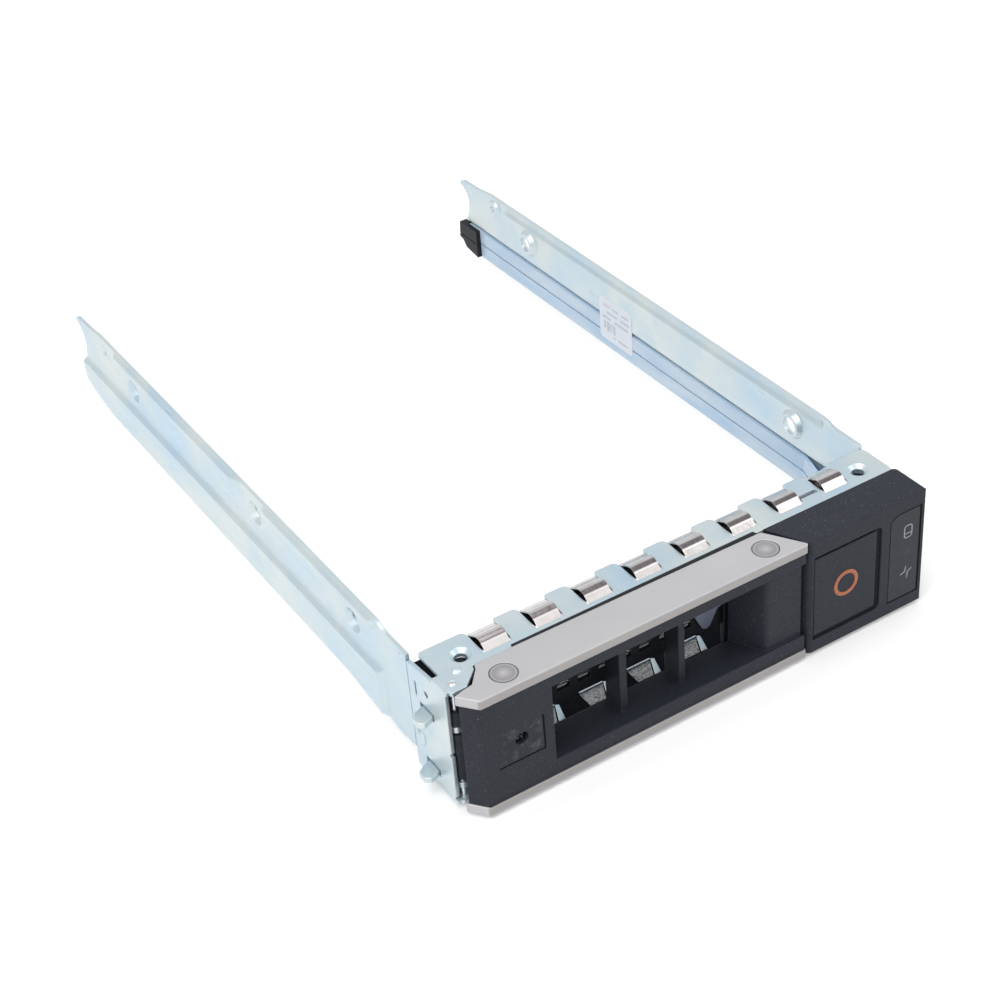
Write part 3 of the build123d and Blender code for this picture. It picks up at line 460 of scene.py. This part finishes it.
def smoked_window():
    """Smoked glossy strip in front of the lights."""
    material, tree, shader = new_material("smoked_window")
    haze = noise(tree, object_space(tree), 700, 3, 0.6)
    colour = ramp(tree, haze, [(0.3, (0.028, 0.031, 0.039)), (0.7, (0.038, 0.042, 0.051))])
    normal, _ = soft_edges(tree, 0.0002)
    colour_from(tree, shader, colour)
    tree.links.new(spread(tree, haze, 0.3, 0.42), shader.inputs["Roughness"])
    shader.inputs["Specular IOR Level"].default_value = 0.2
    tree.links.new(bump(tree, haze, 0.1, 0.00003, normal), shader.inputs["Normal"])
    return material


FINISHES = {
    "zinc_steel": zinc_steel(),
    "spring_steel": spring_steel(),
    "satin_metal": satin_metal(),
    "bright_steel": bright_steel(),
    "black_plastic": moulded("black_plastic", (0.022, 0.026, 0.035), (0.034, 0.039, 0.050),
                             0.42, 0.6, 0.5, scuffed=True),
    "dark_plastic": moulded("dark_plastic", (0.012, 0.014, 0.018), (0.020, 0.023, 0.028),
                            0.4, 0.55, 0.1),
    "smoked_window": smoked_window(),
    "copper_ring": copper_ring(),
    "clear_plastic": clear_plastic(),
    "label_paper": label_paper(),
}


def dress_nodes():
    """Gives every CAD node the finish that the record names, and three of them another one."""
    own = {"lever_rivets": turned_metal(), "lever_spring": plain("leaf_steel"),
           "rail_rivets": FINISHES["zinc_steel"]}
    for row in frame["record"]["subparts"]:
        piece = frame["nodes"][row["node"]]
        piece.data.materials.clear()
        piece.data.materials.append(own.get(row["node"], FINISHES[row["material_slot"]]))


def flat_piece(name, faces, material):
    """A thin printed mark of flat faces that rides on the frame."""
    mesh = bpy.data.meshes.new(name)
    points, indices = [], []
    for face in faces:
        indices.append(list(range(len(points), len(points) + len(face))))
        points += face
    mesh.from_pydata(points, [], indices)
    mesh.materials.append(material)
    piece = bpy.data.objects.new(name, mesh)
    bpy.context.scene.collection.objects.link(piece)
    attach(piece, "frame")


def band(points, width, closed=False):
    """Quads of even width along a flat line of (u, v) points, mitred at its corners."""
    sharpest = 0.45
    count = len(points)
    sides = []
    for index, (u, v) in enumerate(points):
        before = points[index - 1] if closed or index else None
        after = points[(index + 1) % count] if closed or index < count - 1 else None
        runs = [Vector((u - before[0], v - before[1])).normalized()] if before else []
        runs += [Vector((after[0] - u, after[1] - v)).normalized()] if after else []
        along = sum(runs, Vector((0, 0))).normalized()
        reach = min(width / 2 / max(along.dot(runs[0]), sharpest), width)
        sides.append(((u - along.y * reach, v + along.x * reach),
                      (u + along.y * reach, v - along.x * reach)))
    pairs = list(zip(sides, sides[1:] + (sides[:1] if closed else [])))
    return [[a0, a1, b1, b0] for (a0, a1), (b0, b1) in pairs]


def solid(name, outline, low, high, place, material, body):
    """A closed prism: place(u, v, w) carries the outline's points and the two levels into the drawing."""
    mesh = bpy.data.meshes.new(name)
    count = len(outline)
    points = [at(*place(u, v, w)) for w in (low, high) for u, v in outline]
    faces = [list(range(count))[::-1], list(range(count, 2 * count))]
    faces += [[i, (i + 1) % count, count + (i + 1) % count, count + i] for i in range(count)]
    mesh.from_pydata(points, [], faces)
    dressed(name, mesh, material, body)


def dressed(name, mesh, material, body):
    """A new piece of the mesh, with outward normals, that rides on the body."""
    shape = bmesh.new()
    shape.from_mesh(mesh)
    bmesh.ops.recalc_face_normals(shape, faces=shape.faces)
    shape.to_mesh(mesh)
    shape.free()
    mesh.materials.append(material)
    piece = bpy.data.objects.new(name, mesh)
    bpy.context.scene.collection.objects.link(piece)
    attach(piece, body)
    return piece


def flat(x, y, z):
    """For solid(): an outline in plan, between two heights."""
    return x, y, z


def upright(x, z, y):
    """For solid(): an outline seen from the front, between two depths."""
    return x, y, z


def oblong(u0, u1, v0, v1):
    """The corners of a rectangle."""
    return [(u0, v0), (u1, v0), (u1, v1), (u0, v1)]


def rounded(u0, u1, v0, v1, corner, steps=5):
    """Points round a rounded rectangle."""
    points = []
    for cu, cv, start in ((u1 - corner, v1 - corner, 0), (u0 + corner, v1 - corner, 90),
                          (u0 + corner, v0 + corner, 180), (u1 - corner, v0 + corner, 270)):
        for step in range(steps + 1):
            angle = math.radians(start + 90 * step / steps)
            points.append((cu + corner * math.cos(angle), cv + corner * math.sin(angle)))
    return points


def oval(u, v, across, up, steps=24):
    """Points round an oval."""
    turns = [step * 2 * math.pi / steps for step in range(steps)]
    return [(u + across * math.cos(turn), v + up * math.sin(turn)) for turn in turns]


def strip_marks():
    """The plain marks of the light strip: a drive, a faint dot and a pulse, and painted shade in the seam
    round it.
    """
    ink = plain("pale_print")
    y = PANE_FRONT - PRINT_LIFT
    ring = rounded(99.25, 101.15, 17.55, 20.45, 0.6)
    drive = band(ring, 0.28, True) + band([(99.42, 18.55), (100.98, 18.55)], 0.26)
    flat_piece("drive_mark", [[at(u, y, v) for u, v in quad] for quad in drive], ink)
    beat = [(98.75, 8.75), (99.75, 9.05), (100.05, 10.3), (100.45, 7.2), (100.75, 8.95), (101.65, 9.35)]
    pulse = band(beat, 0.28)
    flat_piece("pulse_mark", [[at(u, y, v) for u, v in quad] for quad in pulse], ink)
    dot = [at(u, y, v) for u, v in oval(100.2, 14.1, 0.75, 0.85)]
    flat_piece("faint_dot", [dot], plain("faint_print"))
    # Painted shade in the seam round the strip: a dark band, widest on the right and narrowest on the left
    x0, x1, z0, z1 = 95.7, 103.1, 3.15, 24.0
    corners = ((x0, z0), (x1, z0), (x1, z1), (x0 + 1.9, z1), (x0, z1 - 1.0))
    outside = ((x0 - 0.16, z0 - 0.3), (x1 + 0.42, z0 - 0.3), (x1 + 0.42, z1 + 0.22),
               (x0 + 1.8, z1 + 0.22), (x0 - 0.16, z1 - 0.9))
    seam = []
    for index in range(len(corners)):
        after = (index + 1) % len(corners)
        quad = (corners[index], corners[after], outside[after], outside[index])
        seam.append([at(u, BLOCK_FRONT - PRINT_LIFT, v) for u, v in quad])
    flat_piece("strip_seam_shade", seam, plain("painted_shade_black"))


def button_band():
    """The copper ring of the button: a half-round bead that covers its groove."""
    middle, half, height = 2.57, 0.44, 0.16
    turns, steps = 72, 8
    mesh = bpy.data.meshes.new("button_band")
    points, faces = [], []
    for turn in range(turns):
        angle = 2 * math.pi * turn / turns
        for step in range(steps + 1):
            lean = math.pi * step / steps
            radius = middle + half * math.cos(lean)
            points.append(at(BUTTON_CENTRE[0] + radius * math.cos(angle),
                             BLOCK_FRONT - height * math.sin(lean),
                             BUTTON_CENTRE[1] + radius * math.sin(angle)))
    row = steps + 1
    for turn in range(turns):
        here, there = turn * row, (turn + 1) % turns * row
        for step in range(steps):
            faces.append((here + step, here + step + 1, there + step + 1, there + step))
        faces.append((here + steps, here, there, there + steps))
    mesh.from_pydata(points, [], faces)
    for face in mesh.polygons:
        face.use_smooth = True
    piece = dressed("button_band", mesh, FINISHES["copper_ring"], "button")
    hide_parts("button_ring")


def screw_head():
    """The domed head of the screw in the grip, with a cross recess."""
    mesh = bpy.data.meshes.new("screw_head")
    turns, cross_depth = 48, 0.35
    rings = ((1.28, 1.75), (1.20, 1.30), (0.95, 1.05), (0.62, 0.95), (0.30, 1.15), (0.12, 1.45))
    points, faces = [], []
    for turn in range(turns):
        angle = 2 * math.pi * turn / turns
        arm = 0.5 + 0.5 * math.cos(4 * angle)
        for radius, y in rings:
            sink = cross_depth * arm ** 2 if 0.2 < radius < 1.0 else 0.0
            points.append(at(GRIP_SCREW[0] + radius * math.cos(angle), y + sink,
                             GRIP_SCREW[1] + radius * math.sin(angle)))
    row = len(rings)
    for turn in range(turns):
        here, there = turn * row, (turn + 1) % turns * row
        faces += [(here + step, here + step + 1, there + step + 1, there + step) for step in range(row - 1)]
    faces.append([turn * row + row - 1 for turn in range(turns)])
    faces.append([turn * row for turn in range(turns)][::-1])
    mesh.from_pydata(points, [], faces)
    for face in mesh.polygons:
        face.use_smooth = True
    dressed("screw_head", mesh, screw_black(), "lever")


def left_shades():
    """Dark films in the left corner, where the real caddy's inside is in deep shade."""
    dark = plain("painted_shade_black")
    solid("corner_film", oblong(-0.75, 1.6, 12.8, 18.5), 25.4, 25.5, flat, dark, "frame")
    notch = [(2.4, 5.0), (4.6, 5.6), (7.4, 9.0), (7.2, 9.2), (5.2, 9.2), (2.4, 7.0)]
    solid("notch_film", notch, 26.2, 26.35, flat, dark, "lever")
    for name, low, high in (("gap_film_top", 18.7, 26.4), ("gap_film_middle", 5.3, 16.1),
                            ("gap_film_low", 1.7, 2.7)):
        solid(name, oblong(-0.7, 11.3, low, high), 9.9, 10.0, upright, dark, "frame")


def button_leaf():
    """The leaf behind the button: a copy of the CAD spring with a mesh of its own, riding on the frame in
    place of the CAD node.
    """
    piece = bpy.data.objects.new("button_leaf", frame["nodes"]["button_spring"].data.copy())
    bpy.context.scene.collection.objects.link(piece)
    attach(piece, "frame")
    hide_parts("button_spring")
    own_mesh(piece)


def grip_lips():
    """The grip's black back edge behind either trim plate, a dark line that is also painted shade for the gap
    there.
    """
    outline = [(14.5, 8.93), (69.4, 8.37), (69.0, 9.5), (14.5, 9.62)]
    for name, low, high in (("grip_lip", 27.5, 27.87), ("grip_lip_low", 0.03, 0.4)):
        solid(name, outline, low, high, flat, FINISHES["dark_plastic"], "lever")


def vent_details():
    """What shows through the windows: dark films of painted shade on the lower flange, in front of the leaf's
    foot and under the flange holes, the vent's backing, and pale arcs painted as highlights on the slots'
    upper edges.
    """
    dark = FINISHES["dark_plastic"]
    # Painted shade: a dark film on the lower flange, where the inside is in shade
    solid("floor_shade_film", oblong(12.0, 70.0, 10.2, 16.9), 1.6, 1.75, flat, plain("painted_shade_black"),
          "frame")
    solid("vent_backing", oblong(23.4, 59.6, 10.9, 26.0), 10.95, 11.05, upright, plain("grey_film"),
          "frame")
    # Painted shade: a dark film in front of the leaf's foot behind the right window
    trim = [(61.6, 8.9), (66.6, 8.9), (66.6, 9.0), (61.97, 9.0), (61.97, 10.05), (61.6, 10.05)]
    solid("leg_shade_film", trim, 1.8, 26.5, flat, dark, "frame")
    left, right, columns = 25.1, 57.86, 8
    low, high, rows = 11.9, 24.5, 7
    across, up, lift, depth = 1.25, 0.55, 0.62, 10.05
    turns = [math.radians(turn) for turn in range(20, 161, 20)]
    # Painted highlight: a flat pale arc above each slot stands for its lit upper edge
    edge_highlights = []
    for row in range(rows):
        for column in range(columns):
            x = left + column * (right - left) / (columns - 1)
            z = low + row * (high - low) / (rows - 1)
            arc = [(x + across * math.cos(turn), z + lift + up * math.sin(turn)) for turn in turns]
            edge_highlights += [[at(u, depth, v) for u, v in quad] for quad in band(arc, 0.2)]
    flat_piece("slot_edge_highlights", edge_highlights, FINISHES["bright_steel"])
    for name, x in FLANGE_HOLES:
        solid(name, oval(x, 13.2, 1.7, 1.7), 25.2, 25.4, flat, dark, "frame")


# The four tabs inside: where they start, and the sides of a bar whose two ends have four corners each
TAB_STARTS = [20.8 + 11.2 * index for index in range(4)]
BAR_SIDES = ((0, 1, 2, 3), (7, 6, 5, 4), (0, 4, 5, 1), (1, 5, 6, 2), (2, 6, 7, 3), (3, 7, 4, 0))


def window_tabs():
    """Four tabs that rise and bend behind the windows."""
    mesh = bpy.data.meshes.new("spring_tabs")
    points, faces = [], []
    thick = 0.12
    rows = (((0.15, 3.7), 12.1, 1.85), ((0.05, 4.9), 14.7, 2.05), ((0.0, 5.4), 15.5, 2.3),
            ((0.0, 5.4), 15.6, 2.6))
    for x in TAB_STARTS:
        base = len(points)
        for level in (0.0, thick):
            for (left, right), y, z in rows:
                points += [at(x + left, y + level / 2, z - level), at(x + right, y + level / 2, z - level)]
        for step in range(len(rows) - 1):
            a = base + 2 * step
            faces += [(a, a + 1, a + 3, a + 2), (a + 8, a + 10, a + 11, a + 9),
                      (a, a + 2, a + 10, a + 8), (a + 1, a + 9, a + 11, a + 3)]
        faces += [(base, base + 8, base + 9, base + 1), (base + 6, base + 7, base + 15, base + 14)]
    mesh.from_pydata(points, [], faces)
    dressed("spring_tabs", mesh, tab_steel(), "frame")


def tab_edges():
    """The pale upper edge and right side of each tab."""
    mesh = bpy.data.meshes.new("tab_sides")
    points, faces = [], []
    upper_edge = ((5.4, 15.55, 2.72), (0.0, 15.55, 2.72), (0.0, 15.95, 2.66), (5.4, 15.95, 2.66),
                  (5.4, 15.55, 2.62), (0.0, 15.55, 2.62), (0.0, 15.95, 2.56), (5.4, 15.95, 2.56))
    right_side = ((5.5, 15.6, 2.7), (6.4, 15.6, 2.3), (5.5, 12.0, 1.8), (4.0, 12.0, 1.95),
                  (5.5, 15.6, 2.55), (6.4, 15.6, 2.15), (5.5, 12.0, 1.78), (4.0, 12.0, 1.83))
    for x in TAB_STARTS:
        for corners in (upper_edge, right_side):
            base = len(points)
            points += [at(x + offset, y, z) for offset, y, z in corners]
            faces += [[base + corner for corner in side] for side in BAR_SIDES]
    mesh.from_pydata(points, [], faces)
    dressed("tab_sides", mesh, FINISHES["zinc_steel"], "frame")


def label_fields():
    """Plain grey fields on the label, in rows, with one denser patch."""
    x = ARM_INSIDE - LABEL_THICK - PRINT_LIFT
    fields = []
    rows = ((18.6, 0.55, ((100.2, 103.0), (104.2, 106.6), (107.6, 110.2))),
            (17.0, 0.55, ((99.8, 103.4), (104.6, 108.8))),
            (15.4, 0.55, ((100.4, 106.0), (107.2, 110.6))),
            (11.0, 0.5, ((100.6, 104.6), (105.4, 106.6))))
    for z, height, spans in rows:
        fields += [(y0, y1, z - height / 2, z + height / 2) for y0, y1 in spans]
    columns = ((105.6, 106.5), (106.9, 107.4), (107.7, 109.0), (109.4, 110.2))
    low, high, step = 11.9, 14.4, 0.4
    for index, (y0, y1) in enumerate(columns):
        fields.append((y0, y1, low + step * (index % 2), high))
    quads = [[at(x, y0, z0), at(x, y0, z1), at(x, y1, z1), at(x, y1, z0)] for y0, y1, z0, z1 in fields]
    flat_piece("label_fields", quads, plain("grey_print"))


def set_camera():
    """The photograph's own camera."""
    data = bpy.data.cameras.new("camera")
    data.lens = LENS
    data.sensor_width = SENSOR
    data.clip_start, data.clip_end = 0.01, 20
    camera = bpy.data.objects.new("camera", data)
    bpy.context.scene.collection.objects.link(camera)
    right, up, ahead = Vector(CAMERA_RIGHT), Vector(CAMERA_UP), Vector(CAMERA_AHEAD)
    turn = Matrix((right, up, -ahead)).transposed().to_4x4()
    camera.matrix_world = Matrix.Translation(CAMERA_PLACE) @ turn
    bpy.context.scene.camera = camera


def lamp(name, place, size, watts):
    """A square white lamp that looks at the caddy."""
    data = bpy.data.lights.new(name, "AREA")
    data.shape = "RECTANGLE"
    data.size, data.size_y = size, size
    data.energy = watts
    light = bpy.data.objects.new(name, data)
    bpy.context.scene.collection.objects.link(light)
    light.location = place
    light.rotation_euler = (-Vector(place)).to_track_quat("-Z", "Y").to_euler()


def seen_directly(tree):
    """1 for camera, glossy and transmission rays."""
    path = tree.nodes.new("ShaderNodeLightPath")
    either = maths(tree, "MAXIMUM", path.outputs["Is Camera Ray"], path.outputs["Is Glossy Ray"])
    return maths(tree, "MAXIMUM", either, path.outputs["Is Transmission Ray"])


def room():
    """A white background, and the room that metal mirrors and dull surfaces are lit by."""
    world = bpy.data.worlds.new("studio")
    bpy.context.scene.world = world
    world.use_nodes = True
    tree = world.node_tree
    background = tree.nodes["Background"]
    background.inputs["Color"].default_value = (1, 1, 1, 1)
    way = tree.nodes.new("ShaderNodeTexCoord")
    parts = tree.nodes.new("ShaderNodeSeparateXYZ")
    tree.links.new(way.outputs["Generated"], parts.inputs["Vector"])
    behind = tree.nodes.new("ShaderNodeVectorMath")
    behind.operation = "DOT_PRODUCT"
    tree.links.new(way.outputs["Generated"], behind.inputs[0])
    behind.inputs[1].default_value = SKY_AWAY
    back = spread(tree, behind.outputs["Value"], 0.0, 1.0, -0.12, 0.02)
    dark = maths(tree, "MULTIPLY", back, spread(tree, parts.outputs["Z"], 0.0, 1.0, 0.66, 0.76))
    front = spread(tree, behind.outputs["Value"], SKY_LOW + SKY_FRONT, SKY_LOW, -0.3, -0.1)
    sky = maths(tree, "SUBTRACT", front, maths(tree, "MULTIPLY", dark, SKY_DARK))
    path = tree.nodes.new("ShaderNodeLightPath")
    glossy = path.outputs["Is Glossy Ray"]
    white = maths(tree, "MAXIMUM", path.outputs["Is Camera Ray"], path.outputs["Is Transmission Ray"])
    dull = maths(tree, "SUBTRACT", 1.0, maths(tree, "MAXIMUM", glossy, white))
    strength = maths(tree, "ADD", maths(tree, "MULTIPLY", glossy, sky),
                     maths(tree, "MULTIPLY", dull, ROOM_LIGHT))
    tree.links.new(maths(tree, "MAXIMUM", white, strength), background.inputs["Strength"])


def pale_floor():
    """A pale floor that looks white and keeps the caddy's shadow."""
    mesh = bpy.data.meshes.new("floor")
    half, gap = 3.0, 0.0002
    corners = [(x, y, 0) for x, y in oblong(-half, half, -half, half)]
    mesh.from_pydata(corners, [], [(0, 1, 2, 3)])
    floor = bpy.data.objects.new("floor", mesh)
    floor.location.z = cad_box[0].z - gap
    bpy.context.scene.collection.objects.link(floor)
    material, tree, shader = new_material("floor")
    shader.inputs["Base Color"].default_value = (FLOOR_GREY, FLOOR_GREY, FLOOR_GREY, 1)
    shader.inputs["Roughness"].default_value = 0.9
    glow = tree.nodes.new("ShaderNodeEmission")
    tree.links.new(maths(tree, "MULTIPLY", seen_directly(tree), FLOOR_GLOW), glow.inputs["Strength"])
    both = tree.nodes.new("ShaderNodeAddShader")
    tree.links.new(shader.outputs["BSDF"], both.inputs[0])
    tree.links.new(glow.outputs["Emission"], both.inputs[1])
    tree.links.new(both.outputs["Shader"], tree.nodes["Material Output"].inputs["Surface"])
    mesh.materials.append(material)


def studio():
    """The room, the floor, a soft key from the left, a fill from the right and one lamp above."""
    room()
    pale_floor()
    lamp("key", (-0.55, -0.35, 0.85), 0.7, 4.5)
    lamp("fill", (0.75, -0.45, 0.55), 0.6, 1.5)
    lamp("top", (0.0, 0.1, 1.2), 0.9, 5.2)


dress_nodes()
strip_marks()
label_fields()
button_band()
screw_head()
button_leaf()
left_shades()
grip_lips()
vent_details()
window_tabs()
tab_edges()
set_camera()
studio()
bpy.context.scene.view_settings.view_transform = "Standard"
